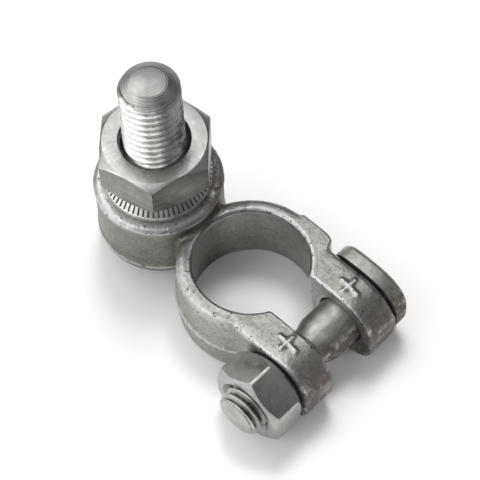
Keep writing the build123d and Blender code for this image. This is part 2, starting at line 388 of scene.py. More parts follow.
def threaded(name, radius, pitch, low, high, steps=96):
    """A solid thread about Z, with round crests and a depth in parts of its pitch."""
    depth = THREAD_DEPTH * pitch
    turns = math.ceil((high - low) / pitch) + 2
    rod = draw(name, [
        (radius - depth + out * depth, low - pitch + along * pitch) for out, along in TOOTH
    ])
    screw = rod.modifiers.new("thread", "SCREW")
    screw.angle = 2 * math.pi
    screw.screw_offset = pitch * MM
    screw.iterations = turns
    screw.steps = screw.render_steps = steps
    screw.use_merge_vertices = True
    screw.merge_threshold = MERGE
    apply_modifiers(rod)
    clean(rod)
    for height, side in ((low, -1), (high, 1)):
        edit(rod)
        bpy.ops.mesh.select_all(action="SELECT")
        bpy.ops.mesh.bisect(
            plane_co=(0, 0, height * MM), plane_no=(0, 0, side),
            use_fill=True, clear_outer=True,
        )
        done()
    clean(rod)
    return rod


# %% [markdown]
# ## The cable stud
#
# The stud is an M10 rod with a round head that is let into the boss from
# below. Its thread runs down past the nut, because the nut can be taken up.
# Its end is turned to a cone with a rounded edge, a few points of a section.

# %% Stud
STUD_RADIUS = 4.93
STUD_PITCH = 1.5
STUD_THREAD_LOW = 15.0
STUD_HEAD_RADIUS = 7.5
STUD_HEAD_TOP = 7.0
STUD_END = [(5.2, 1.9), (4.9, 1.55), (4.72, 1.35), (3.05, 0.13), (2.75, 0.0)]

stud = threaded("stud_threaded", STUD_RADIUS, STUD_PITCH, STUD_THREAD_LOW, STUD_TOP + 1)
blank = turned("blank", [
    (0, STUD_THREAD_LOW - 1), (5.2, STUD_THREAD_LOW - 1),
    *[(radius, STUD_TOP - below) for radius, below in STUD_END], (0, STUD_TOP),
])
boolean(stud, blank, "INTERSECT")
shank = turned("shank", [
    (0, BOSS_BOTTOM), (STUD_HEAD_RADIUS - 0.5, BOSS_BOTTOM), (STUD_HEAD_RADIUS, BOSS_BOTTOM + 0.5),
    (STUD_HEAD_RADIUS, STUD_HEAD_TOP), (STUD_RADIUS, STUD_HEAD_TOP),
    (STUD_RADIUS, STUD_THREAD_LOW + 1.6), (4.1, STUD_THREAD_LOW + 2.1), (0, STUD_THREAD_LOW + 2.1),
])
boolean(stud, shank, "UNION")
place(stud, (0, STUD_Y, 0))
smooth(stud, 30)
report(stud)

# %% [markdown]
# ## The clamp bolt
#
# The bolt's flat head lies against the casting's shoulder, so it can't turn.
# The head is forged: a blunt nose in front, nearly straight behind it, and
# round along its outer edge. One formula gives half of its height at each
# distance, and the outline is extruded and bevelled.

# %% The bolt's head
SEAT = EAR_OUTER + PARTING_STEP
HEAD_BACK = 6.95
HEAD_CROWN = 6.35
HEAD_REACH = 6.5
HEAD_CORNER = 2.8
HEAD_THICKNESS = 2.85
HEAD_EDGE = 0.9
HEAD_STEPS = 24
CROWN_AT = 2.0
CROWN_FALL = 0.1
BLUNTNESS = 2.6
CORNER_AT = HEAD_BACK - HEAD_CORNER


def head_height(along):
    """Half the head's height at a distance behind the bolt's axis: nearly flat, then round."""
    if along > CROWN_AT:
        return HEAD_CROWN - CROWN_FALL * ((along - CROWN_AT) / (CORNER_AT - CROWN_AT)) ** 2
    share = (CROWN_AT - along) / (CROWN_AT + HEAD_REACH)
    return HEAD_CROWN * max(0.0, 1 - share ** BLUNTNESS) ** (1 / BLUNTNESS)


upper = arc(CORNER_AT, head_height(CORNER_AT) - HEAD_CORNER, HEAD_CORNER, 0, 90, 10)
for step in range(HEAD_STEPS + 1):
    along = CROWN_AT - (CROWN_AT + HEAD_REACH) * math.sin(math.pi / 2 * step / HEAD_STEPS)
    upper.append((along, head_height(along)))
outline = upper + [(x, -y) for x, y in reversed(upper[:-1])]
bolt = plate("clamp_bolt_forged", outline, "XY", 0, HEAD_THICKNESS)
bevel_edges(bolt, lambda p: abs(p.z - HEAD_THICKNESS) < 0.001, HEAD_EDGE, 5)
print("head outline of", len(outline), "points")

# %% [markdown]
# The shank is turned. It tapers to a neck that shows between the ears, and
# ends in an M8 thread. The bolt is built upright with its head at the top,
# and laid on its side when it is whole.

# %% The bolt's shank and thread
SHANK_RADIUS = 4.05
NECK_RADIUS = 3.5
TAPER_START = 10.8
NECK_END = 14.2
BOLT_THREAD_RADIUS = 3.95
BOLT_PITCH = 1.25
CLAMP_NUT_THICKNESS = 6.5
BOLT_OVERHANG = 2.2
BOLT_END = 2 * SEAT + CLAMP_NUT_THICKNESS + BOLT_OVERHANG

shank = turned("shank", [
    (0, 0.4), (4.4, 0.4), (4.4, 0), (SHANK_RADIUS, -0.35), (SHANK_RADIUS, -TAPER_START),
    (3.95, -TAPER_START - 0.5), (NECK_RADIUS, -TAPER_START - 1.8), (NECK_RADIUS, -NECK_END),
    (0, -NECK_END),
])
thread = threaded("thread", BOLT_THREAD_RADIUS, BOLT_PITCH, -BOLT_END - 1, -NECK_END + 1.2)
blank = turned("blank", [
    (0, -BOLT_END), (3.3, -BOLT_END), (3.42, -BOLT_END + 0.08), (4.2, -BOLT_END + 0.85),
    (4.2, -NECK_END + 0.1), (3.2, -NECK_END + 0.9), (0, -NECK_END + 0.9),
])
boolean(thread, blank, "INTERSECT")
boolean(bolt, shank, "UNION")
boolean(bolt, thread, "UNION")
place(bolt, (SEAT, BOLT_Y, BOLT_Z), (90, 0, 90))
smooth(bolt, 30)
report(bolt)

# %% [markdown]
# ## The nuts
#
# A hexagon nut is a six-sided cylinder whose corners are turned off by a
# cone at each end. Keeping only what lies inside the turned cone gives the
# curved lines where cone and flats meet. A narrow bevel wears the edges.

# %% A hexagon nut
TOP_SLOPE = math.tan(math.radians(35))
SEAT_SLOPE = math.tan(math.radians(42))
COUNTERSINK = 0.85


def hexagon_nut(name, flats, thickness, corner, face, seat, bore, angle, wear):
    """A nut on its seat at Z = 0, with a plain bore that is countersunk at both ends.

    The corners are turned to one radius. The cones run out at the radius of
    the face on top and of the seat below, and the edges wear by a bevel.
    """
    bpy.ops.object.select_all(action="DESELECT")
    bpy.ops.mesh.primitive_cylinder_add(
        vertices=6, radius=flats / math.sqrt(3) * MM, depth=thickness * MM,
    )
    nut = bpy.context.active_object
    nut.name = name
    place(nut, (0, 0, thickness / 2), (0, 0, angle - 30))
    cone = turned("cone", [
        (0, 0), (seat, 0), (corner, (corner - seat) * SEAT_SLOPE),
        (corner, thickness - (corner - face) * TOP_SLOPE), (face, thickness), (0, thickness),
    ], FINE_STEPS)
    boolean(nut, cone, "INTERSECT")
    wide = bore + COUNTERSINK
    hole = turned("hole", [
        (0, -1), (wide + 1, -1), (wide, 0), (bore, COUNTERSINK), (bore, thickness - COUNTERSINK),
        (wide, thickness), (wide + 1, thickness + 1), (0, thickness + 1),
    ], HOLE_STEPS)
    boolean(nut, hole, "DIFFERENCE")
    edges = nut.modifiers.new("worn_edges", "BEVEL")
    edges.width = wear * MM
    edges.segments = 3
    edges.limit_method = "ANGLE"
    edges.angle_limit = math.radians(18)
    apply_modifiers(nut)
    smooth(nut, 25)
    return nut


# %% Stud nut and clamp nut
STUD_NUT_FLATS = 17.0
CLAMP_NUT_FLATS = 12.7
THREAD_PLAY = 0.05

stud_nut = hexagon_nut(
    "stud_nut_worn", STUD_NUT_FLATS, thickness=8.0, corner=STUD_NUT_FLATS / math.sqrt(3),
    face=8.27, seat=7.5, bore=STUD_RADIUS + THREAD_PLAY, angle=42.5, wear=0.07,
)
place(stud_nut, (0, STUD_Y, NUT_SEAT))
report(stud_nut)
clamp_nut = hexagon_nut(
    "clamp_nut_worn", CLAMP_NUT_FLATS, CLAMP_NUT_THICKNESS, corner=7.2,
    face=5.95, seat=5.6, bore=BOLT_THREAD_RADIUS + THREAD_PLAY, angle=-34, wear=0.05,
)
place(clamp_nut, (-SEAT, BOLT_Y, BOLT_Z), (-90, 0, 90))
report(clamp_nut)

# %% [markdown]
# ## The lock washer
#
# The washer is a shallow cone with fine ribs that bite into the nut. It is
# spun with five columns of faces to each rib, and two of the five are sunk
# by a short extrusion, so that one operation cuts all the grooves.

# %% Ribbed washer
RIBS = 64
COLUMNS = 5
SUNK_COLUMNS = 2
GROOVE_DEPTH = 0.3
WASHER_BORE = 5.35
WASHER_DISH = 1.27


def rib_column(x, y):
    """How many columns of faces a point lies past the start of its rib."""
    return math.degrees(math.atan2(y, x)) % (360 / RIBS) * RIBS / (360 / COLUMNS)


def sunk(face):
    """Faces of the cone, not of the rims or the dish below, in the columns to be sunk."""
    x, y, z = face.center / MM
    on_cone = 7.9 < math.hypot(x, y) < 8.2 and z > 1.5
    return on_cone and rib_column(x, y) < SUNK_COLUMNS


washer = turned("stud_washer_ribbed", [
    (WASHER_BORE, WASHER_DISH), (7.85, 0.0), (8.6, 0.0), (8.72, 0.10), (8.75, 0.95),
    (8.72, 1.08), (8.62, 1.16), (7.52, 2.68), (7.4, WASHER_HEIGHT),
    (WASHER_BORE, WASHER_HEIGHT), (WASHER_BORE, WASHER_DISH),
], RIBS * COLUMNS)
edit_where(washer, "FACE", sunk)
bpy.ops.mesh.extrude_region_shrink_fatten(
    TRANSFORM_OT_shrink_fatten={"value": -GROOVE_DEPTH * MM}
)
done()
clean(washer)
place(washer, (0, STUD_Y, BOSS_TOP))
smooth(washer, 30)
report(washer)

# %% [markdown]
# ## The casting
#
# Cast metal has no sharp edges and no true flats. The casting is roughed
# out as overlapping plain solids, which a voxel remesh turns into one skin.
# Smoothing that skin rounds all its edges at once, as a worn mould does.
# The bore, the gap and the holes are cut afterwards, so they stay crisper.
#
# The mould has two halves that narrow away from the line where they meet,
# and the lower half is the wider one there. The underside starts a little
# above the floor, because the lumps of the skin reach down from it.

# %% Outlines of the ears and the shoulder
BASE = 0.05
UPPER_EAR = 10.28
LOWER_EAR = 10.4
EAR_FRONT = BASE - EAR_REACH
FOOT_RADIUS = 5.2
NOSE_RADIUS = 6.6
NOSE_Y = -15.3
NOSE_START = 165.9
SHOULDER_FRONT = -7.3
SHOULDER_CORNER = 2


def ear_outline(top):
    """An ear seen along the bolt, up to a height: a round foot and a round nose."""
    foot = arc(FOOT_RADIUS - EAR_REACH, FOOT_RADIUS, FOOT_RADIUS - BASE, 270, 180)
    nose = [(EAR_FRONT, top)]
    if top > PARTING_HEIGHT:
        nose = arc(NOSE_Y, COLLAR_HEIGHT - NOSE_RADIUS, NOSE_RADIUS, NOSE_START, 90)
    return [(0, BASE), *foot, *nose, (0, top)]


def shoulder(name, growth, low, high):
    """The block beside the bolt's head, grown at its side and its front."""
    side = COLLAR_RADIUS + growth
    front = SHOULDER_FRONT - growth
    corner = arc(side - SHOULDER_CORNER, front + SHOULDER_CORNER, SHOULDER_CORNER, 270, 360)
    return plate(name, [(0, 0), (0, front), *corner, (side, 0)], "XY", low, high)


def disc(name, low_radius, high_radius, low, high):
    """A solid disc about Z, or a cone where its two radii differ."""
    return turned(name, [(0, low), (low_radius, low), (high_radius, high), (0, high)], FINE_STEPS)


# %% Rough shapes of the casting
COLLAR_ROUND = 1.5
EAR_ROUND = 1.0
OVERLAP = 1.0

upper_ears = plate("upper_ears", ear_outline(COLLAR_HEIGHT), "YZ", -UPPER_EAR, UPPER_EAR)
bevel_edges(upper_ears, lambda p: abs(p.x) > UPPER_EAR - 0.08 and p.z > 9, EAR_ROUND)
collar_top = arc(
    COLLAR_RADIUS - 0.16 - COLLAR_ROUND, COLLAR_HEIGHT - COLLAR_ROUND, COLLAR_ROUND, 0, 90, 8,
)
rough = [
    turned("upper_collar", [
        (0, PARTING_HEIGHT - OVERLAP), (COLLAR_RADIUS - 0.04, PARTING_HEIGHT - OVERLAP),
        *collar_top, (0, COLLAR_HEIGHT),
    ], FINE_STEPS),
    disc("lower_collar", COLLAR_RADIUS - 0.12, COLLAR_RADIUS - 0.02, BASE, PARTING_HEIGHT),
    upper_ears,
    plate("lower_ears", ear_outline(PARTING_HEIGHT), "YZ", -LOWER_EAR, LOWER_EAR),
    shoulder("upper_shoulder", -0.05, PARTING_HEIGHT - OVERLAP, COLLAR_HEIGHT),
    shoulder("lower_shoulder", 0.0, BASE, PARTING_HEIGHT),
]
boss = turned("boss", [
    (0, BOSS_BOTTOM), (BOSS_RADIUS - 1.0, BOSS_BOTTOM), (BOSS_RADIUS - 0.1, BOSS_BOTTOM + 0.9),
    (BOSS_RADIUS + 0.1, PARTING_HEIGHT), (BOSS_RADIUS - 0.06, PARTING_HEIGHT + 0.2),
    (BOSS_RADIUS - 0.1, BOSS_TOP - 1.4), (BOSS_RADIUS, BOSS_TOP - 1.0),
    (BOSS_RADIUS, BOSS_TOP - 0.7), (BOSS_RADIUS - 0.3, BOSS_TOP - 0.2),
    (BOSS_RADIUS - 0.8, BOSS_TOP), (0, BOSS_TOP),
], FINE_STEPS)
place(boss, (0, STUD_Y, 0))
casting = merge("casting", rough + [boss])
print("the casting starts as", len(rough) + 1, "solids")

# %% Round the casting's edges
VOXEL = 0.3
RELAX = 0.5


def remesh(piece, size):
    skin = piece.modifiers.new("skin", "REMESH")
    skin.mode = "VOXEL"
    skin.voxel_size = size * MM
    apply_modifiers(piece)


def soften(piece, times):
    relax = piece.modifiers.new("soften", "SMOOTH")
    relax.factor = RELAX
    relax.iterations = times
    apply_modifiers(piece)


remesh(casting, VOXEL)
soften(casting, 6)
report(casting)

# %% [markdown]
# ### The parting line
#
# Where the two halves of the mould met, a little metal ran out into a thin
# ridge all round. The smoothing above would have worn it away, so it is
# added after it, as thin plates and rings that stand a few tenths of a
# millimetre proud. The rim of the boss is such a ridge as well. One more
# remesh fuses them.

# %% Parting line and boss rim
LINE_LOW = PARTING_HEIGHT - 0.22
LINE_HIGH = PARTING_HEIGHT + 0.08
LINE_MIDDLE = (LINE_LOW + LINE_HIGH) / 2
FINE_VOXEL = 0.24


def ridge(name, radius, low, high, y=0.0):
    """A thin disc that stands out of a round wall; y is where its centre lies."""
    ring = disc(name, radius, radius, low, high)
    place(ring, (0, y, 0))
    return ring


ear_line = [(0, LINE_LOW), (EAR_FRONT, LINE_LOW), (EAR_FRONT, LINE_HIGH), (0, LINE_HIGH)]
ridges = [
    ridge("collar_line", COLLAR_RADIUS + 0.4, LINE_LOW, LINE_HIGH),
    ridge("boss_line", BOSS_RADIUS + 0.22, LINE_LOW, LINE_HIGH, STUD_Y),
    ridge("boss_rim", BOSS_RADIUS + 0.16, BOSS_TOP - 1.0, BOSS_TOP - 0.68, STUD_Y),
    shoulder("shoulder_line", 0.2, LINE_LOW, LINE_HIGH),
    plate("ear_line", ear_line, "YZ", -SEAT, SEAT),
]
casting = merge("casting", [casting] + ridges)
remesh(casting, FINE_VOXEL)
report(casting)

# %% [markdown]
# ### Marks on the ears
#
# Each ear carries a raised cross, cast with it. A cross is two crossing
# bars with bevelled edges, sunk a little into the ear so that they fuse.

# %% Raised crosses
BAR_HEIGHT = 0.9
BAR_EDGE = 0.2
BAR_MIDDLE = COLLAR_HEIGHT - 0.17
LONG_BAR = (0.70, 4.2, -6)
SHORT_BAR = (0.65, 3.3, 88)
CROSSES = [((7.0, -14.6), (7.15, -14.3)), ((-6.8, -14.5), (-6.7, -14.2))]


def bar(x, y, width, length, turn):
    """One raised bar of a cross, from a cube with bevelled edges."""
    bpy.ops.object.select_all(action="DESELECT")
    bpy.ops.mesh.primitive_cube_add(size=MM, location=(0, 0, 0))
    piece = bpy.context.active_object
    piece.name = "bar"
    piece.scale = (width, length, BAR_HEIGHT)
    bpy.ops.object.transform_apply(location=False, rotation=False, scale=True)
    edit(piece)
    bpy.ops.mesh.select_all(action="SELECT")
    bpy.ops.mesh.bevel(offset=BAR_EDGE * MM, segments=2, affect="EDGES")
    done()
    place(piece, (x, y, BAR_MIDDLE), (0, 0, turn))
    return piece


marks = []
for upright, crossing in CROSSES:
    marks.append(bar(*upright, *LONG_BAR))
    marks.append(bar(*crossing, *SHORT_BAR))
print(len(marks), "bars for", len(CROSSES), "crosses")

# %% [markdown]
# ### Bore, gap and holes
#
# These faces meet the battery post, the bolt and the stud, so they are
# regular. Each is cut by a plain shape that stands out past the metal. The
# bore is a little wider at its mouth, so that the clamp goes on easily.
# Then the crosses are joined on, and a last remesh with a light smoothing
# makes one even skin of it all.

# %% Cut the bore, the gap and the holes
BORE_CHAMFER = 0.4
BOLT_HOLE = 4.25
STUD_HOLE = 5.0
STUD_RECESS = STUD_HEAD_RADIUS + 0.15

bore = turned("bore", [
    (0, -1), (BORE_BOTTOM + 0.06, -1), (BORE_TOP + 0.02, COLLAR_HEIGHT - BORE_CHAMFER),
    (BORE_TOP + 0.02 + BORE_CHAMFER, COLLAR_HEIGHT), (BORE_TOP + 1.4, COLLAR_HEIGHT + 1),
    (0, COLLAR_HEIGHT + 1),
], FINE_STEPS)
boolean(casting, bore, "DIFFERENCE")
gap_outline = [(-EAR_INNER, 0), (-EAR_INNER, -23), (EAR_INNER, -23), (EAR_INNER, 0)]
gap = plate("gap", gap_outline, "XY", -1, COLLAR_HEIGHT + 1.5)
boolean(casting, gap, "DIFFERENCE")
hole = turned("hole", [(0, -12), (BOLT_HOLE, -12), (BOLT_HOLE, 12), (0, 12)], HOLE_STEPS)
place(hole, (0, BOLT_Y, BOLT_Z), (90, 0, 90))
boolean(casting, hole, "DIFFERENCE")
stud_hole = turned("stud_hole", [
    (0, BOSS_BOTTOM - 1), (STUD_RECESS, BOSS_BOTTOM - 1), (STUD_RECESS, STUD_HEAD_TOP),
    (STUD_HOLE, STUD_HEAD_TOP), (STUD_HOLE, 18), (0, 18),
])
place(stud_hole, (0, STUD_Y, 0))
boolean(casting, stud_hole, "DIFFERENCE")
casting = merge("casting", [casting] + marks)
remesh(casting, FINE_VOXEL)
soften(casting, 2)
report(casting)

# %% [markdown]
# ### Cast skin
#
# Casting leaves shallow waves and small lumps. Two Displace modifiers with
# cloud textures move the skin by a few hundredths of a millimetre, which
# bends every highlight a little.

# %% Waves and lumps
def roughen(piece, name, size, strength):
    """Push the skin in and out by half the strength each way, in clouds of one size."""
    clouds = bpy.data.textures.new(name, "CLOUDS")
    clouds.noise_scale = size * MM
    clouds.noise_depth = 2
    bumps = piece.modifiers.new(name, "DISPLACE")
    bumps.texture = clouds
    bumps.texture_coords = "LOCAL"
    bumps.strength = strength * MM
    bumps.mid_level = 0.5
    apply_modifiers(piece)


roughen(casting, "waves", 4.0, 0.08)
roughen(casting, "lumps", 0.9, 0.045)
take(casting)
bpy.ops.object.shade_smooth()
casting.name = "casting_rough"
report(casting)

# %% [markdown]
# ### Edges and corners of the casting
#
# Handling polishes what stands out. A copy of the casting is smoothed, and
# each point's distance to its smoothed self is stored on the mesh. It is
# positive on edges and negative in corners. The material reads it by name:
# it brightens edges as wear and painted highlight, and darkens corners with
# painted shade.

# %% Map of edges and corners
def edge_and_corner_map(piece, times):
    """Store how far each point stands out of a copy that is smoothed some times."""
    take(piece)
    bpy.ops.object.duplicate()
    relaxed = bpy.context.active_object
    soften(relaxed, times)
    wear = piece.data.attributes.new("wear", "FLOAT", "POINT")
    pairs = zip(piece.data.vertices, relaxed.data.vertices)
    wear.data.foreach_set("value", [(a.co - b.co).dot(a.normal) / MM for a, b in pairs])
    bpy.data.objects.remove(relaxed, do_unlink=True)


edge_and_corner_map(casting, 16)
values = sorted(point.value for point in casting.data.attributes["wear"].data)
middle = values[len(values) // 2]
print("wear in mm:", [round(v, 3) for v in (values[0], middle, values[-1])])
print("most worn hundredth from", round(values[-len(values) // 100], 3))

# %% [markdown]
# ## Materials
#
# The metals are metallic shaders whose colour, roughness and bump come from
# noise on Object coordinates, so that no two places look alike. A brown
# cover lies over the metal, partly stain and partly painted shade. It is
# less metallic and duller than what it covers, so it stays dark where bare
# metal would mirror a lamp.
#
# Links between nodes are long to write, so a small class adds a node, feeds
# its inputs with values or sockets, and hands back its output.

# %% A node helper
# A dark brown for stains, also used to paint shade on faces turned from the lamps and in thread
# roots.
STAIN_AND_SHADE_BROWN = (0.055, 0.038, 0.031, 1)


class Look:
    """A material and a short way to add linked nodes to it."""

    def __init__(self, name):
        self.material = bpy.data.materials.new(name)
        self.material.use_nodes = True
        self.tree = self.material.node_tree
        self.shader = self.tree.nodes["Principled BSDF"]
        self.place = self.add("ShaderNodeTexCoord").outputs["Object"]
        self.stain_and_shade = 0.0

    def add(self, kind, inputs=None, **settings):
        node = self.tree.nodes.new(kind)
        for key, value in settings.items():
            setattr(node, key, value)
        for key, value in (inputs or {}).items():
            self.feed(node, key, value)
        return node

    def feed(self, node, key, value):
        if isinstance(value, bpy.types.NodeSocket):
            self.tree.links.new(value, node.inputs[key])
        else:
            node.inputs[key].default_value = value

    def noise(self, scale, detail=3.0, roughness=0.55, stretch=None):
        where = self.place
        if stretch:
            mapping = self.add("ShaderNodeMapping", {"Vector": where, "Scale": stretch})
            where = mapping.outputs["Vector"]
        node = self.add("ShaderNodeTexNoise", {
            "Vector": where, "Scale": scale, "Detail": detail, "Roughness": roughness,
        })
        return node.outputs["Fac"]

    def span(self, value, low, high, to_low=0.0, to_high=1.0):
        """Stretch a range of a value to another range, and hold it at both ends."""
        node = self.add("ShaderNodeMapRange", {
            "Value": value, "From Min": low, "From Max": high, "To Min": to_low, "To Max": to_high,
        })
        return node.outputs["Result"]

    def mix(self, factor, a, b, blend="MIX"):
        node = self.add("ShaderNodeMix", data_type="RGBA", blend_type=blend)
        self.feed(node, 0, factor)
        self.feed(node, 6, a)
        self.feed(node, 7, b)
        return node.outputs[2]

    def tint(self, colour, by):
        """Multiply a colour by another one, or by a value."""
        return self.mix(1.0, colour, by, "MULTIPLY")

    def maths(self, operation, a, b):
        node = self.add("ShaderNodeMath", operation=operation)
        self.feed(node, 0, a)
        self.feed(node, 1, b)
        return node.outputs["Value"]

    def plus(self, a, b):
        return self.maths("ADD", a, b)

    def times(self, a, b):
        return self.maths("MULTIPLY", a, b)

    def larger(self, a, b):
        return self.maths("MAXIMUM", a, b)

    def vectors(self, operation, *inputs):
        return self.add("ShaderNodeVectorMath", dict(enumerate(inputs)), operation=operation)

    def from_point(self, centre):
        """Object coordinates counted from a point that is given in millimetres."""
        return self.vectors("SUBTRACT", self.place, [v * MM for v in centre]).outputs[0]

    def radius(self, centre, axes=(1.0, 1.0, 1.0)):
        """Distance in millimetres from a point, or from an axis whose direction has a zero."""
        scaled = self.vectors("MULTIPLY", self.from_point(centre), [v / MM for v in axes])
        return self.vectors("LENGTH", scaled.outputs[0]).outputs["Value"]

    def brown_stain_and_shade(self, colour, places, amount, scale=420):
        """Brown stain and painted shade near some places, each a centre and two distances in
        millimetres.
        """
        ragged = self.span(self.noise(scale, 6, 0.75), 0.36, 0.64, -0.75, 0.75)
        cover = 0.0
        for centre, near, far in places:
            cover = self.larger(cover, self.span(self.radius(centre), far, near))
        cover = self.times(cover, self.plus(ragged, 1.0))
        cover = self.span(cover, 0.25, 0.95, 0.0, amount)
        self.stain_and_shade = self.larger(self.stain_and_shade, cover)
        return self.mix(cover, colour, STAIN_AND_SHADE_BROWN)

    def bump(self, height, strength, distance, normal=None):
        settings = {"Height": height, "Strength": strength, "Distance": distance}
        node = self.add("ShaderNodeBump", settings)
        if normal:
            self.feed(node, "Normal", normal)
        return node.outputs["Normal"]

    def finish(self, colour, roughness, normal):
        """Feed the shader; the brown cover of stain and painted shade is duller than metal and does
        not mirror.
        """
        self.feed(self.shader, "Base Color", colour)
        self.feed(self.shader, "Metallic", self.span(self.stain_and_shade, 0.3, 1.0, 1.0, 0.35))
        self.feed(self.shader, "Specular IOR Level", self.span(self.stain_and_shade, 0.0, 1.0, 0.5, 0.15))
        self.feed(self.shader, "Roughness", self.plus(roughness, self.times(self.stain_and_shade, 0.15)))
        self.feed(self.shader, "Normal", normal)


def grey(value, warmth=0.0):
    """A grey of one brightness, a little yellow where it is warm."""
    return (value * (1 + 0.3 * warmth), value, value * (1 - 1.5 * warmth), 1.0)


# %% [markdown]
# ### The tinned casting
#
# Tin over a cast skin is a soft, mottled grey with pits. Three noises at
# three scales make that: wide patches, a fine mottle, and rare deep spots.
# The boss's wall below its rim is darkened with painted shade.

# %% Colour of the casting
PATCH_GREYS = (grey(0.35, 0.03), grey(0.42, 0.02))
MOTTLE = ((0.70, 0.68, 0.64, 1), (1.22, 1.22, 1.22, 1))
PIT = grey(0.12, 0.08)
# A darker tint: painted shade on the boss's wall.
WALL_SHADE_TINT = (0.60, 0.59, 0.56, 1)

cast = Look("tinned_cast_skin")
patches = cast.span(cast.noise(230, 4), 0.35, 0.65)
colour = cast.mix(patches, *PATCH_GREYS)
mottle = cast.span(cast.noise(1700, 5, 0.7), 0.30, 0.70)
colour = cast.tint(colour, cast.mix(mottle, *MOTTLE))
pits = cast.span(cast.noise(2600, 2), 0.27, 0.36)
colour = cast.mix(pits, PIT, colour)

height = cast.add("ShaderNodeSeparateXYZ", {0: cast.place}).outputs["Z"]
# Painted shade: the boss's wall below its rim is darkened.
near_boss = cast.span(cast.radius((0, STUD_Y, 0), (1, 1, 0)), BOSS_RADIUS + 2.1, BOSS_RADIUS + 0.1)
below_rim = cast.span(height, (BOSS_TOP - 1.1) * MM, (BOSS_TOP - 2.3) * MM)
painted_wall_shade = cast.times(near_boss, below_rim)
colour = cast.mix(painted_wall_shade, colour, cast.tint(colour, WALL_SHADE_TINT))
print("cast colour from", len(cast.tree.nodes), "nodes")

# %% [markdown]
# The map of edges and corners now says where the skin is brightened, as
# rubbed wear and as painted highlight, and where its corners are darkened
# with painted shade. The parting line is brightened as well, where it stands
# out. A brown cover on the ears' noses and beside the boss is partly stain
# and partly painted shade, and stain lies in flecks on edges.

# %% Edges worn and highlighted, painted shade in corners, stain and shade
# A bright grey for edges, partly wear and partly painted highlight, and a dark grey that paints
# shade into corners.
EDGE_WEAR_HIGHLIGHT = grey(0.48, 0.01)
CORNER_SHADE = grey(0.09, 0.12)
# Places of a brown cover that is partly stain and partly painted shade.
CAST_STAIN_AND_SHADE = [
    ((7.0, -21.0, 6.5), 4.5, 9.5),
    ((-7.0, -21.0, 6.5), 4.5, 9.5),
    ((6.5, 13.0, 16.0), 3.0, 8.0),
]

wear = cast.add("ShaderNodeAttribute", attribute_name="wear").outputs["Fac"]
ragged = cast.plus(wear, cast.span(cast.noise(1100, 4), 0.3, 0.7, -0.007, 0.007))
wear_and_highlight = cast.span(ragged, 0.010, 0.034)
off_line = cast.maths("ABSOLUTE", cast.maths("SUBTRACT", height, LINE_MIDDLE * MM), 0.0)
line = cast.span(off_line, 0.28 * MM, 0.12 * MM)
wear_and_highlight = cast.larger(wear_and_highlight, cast.times(line, cast.span(wear, 0.0, 0.02)))
# Edges and the parting line are brightened: partly wear, partly painted highlight.
colour = cast.mix(wear_and_highlight, colour, EDGE_WEAR_HIGHLIGHT)
# Painted shade: corners and hollows are darkened.
colour = cast.mix(cast.span(ragged, -0.025, -0.07), colour, CORNER_SHADE)
# Brown stain and painted shade on the ears' noses and beside the boss.
colour = cast.brown_stain_and_shade(colour, CAST_STAIN_AND_SHADE, 0.78)
speckle = cast.span(cast.noise(1400, 4, 0.6), 0.61, 0.65)
flecks = cast.times(cast.span(wear, 0.008, 0.025), speckle)
colour = cast.mix(flecks, colour, STAIN_AND_SHADE_BROWN)
print("dirt in", len(CAST_STAIN_AND_SHADE), "places")

# %% Roughness and grain of the casting
WORN_ROUGHNESS = 0.32

satin = cast.span(cast.noise(700, 3), 0.3, 0.7, 0.36, 0.50)
roughness = cast.span(wear_and_highlight, 0.0, 1.0, satin, WORN_ROUGHNESS)
grain = cast.bump(cast.noise(3000, 3), 0.8, 0.00008)
cast.finish(colour, roughness, cast.bump(cast.noise(1000, 3), 0.35, 0.00025, grain))
print("tinned casting made with", len(cast.tree.nodes), "nodes")

# %% [markdown]
# ### Plated and turned steel
#
# The nuts, the bolt, the stud and the washer are one family of metal, so
# one function makes them all from a low and a high grey. What sets them
# apart is added by name: brush marks round the stud nut, the fine spiral
# that a tool leaves on a turned end, painted shade in thread roots, and
# brown covers that are partly stain and partly painted shade.

# %% Turning marks
def rings(look, centre, axis, pitch):
    """A fine spiral round an axis, from 0 to 1, as a tool leaves on a turned end."""
    across = [0.0 if i == axis else 1.0 for i in range(3)]
    parts = look.add("ShaderNodeSeparateXYZ", {0: look.from_point(centre)})
    a, b = [parts.outputs[i] for i in range(3) if i != axis]
    turns = look.times(look.radius(centre, across), 2 * math.pi / pitch)
    spiral = look.plus(turns, look.maths("ARCTAN2", b, a))
    wave = look.add("ShaderNodeMath", {0: spiral}, operation="SINE").outputs["Value"]
    return look.span(wave, -1.0, 1.0)


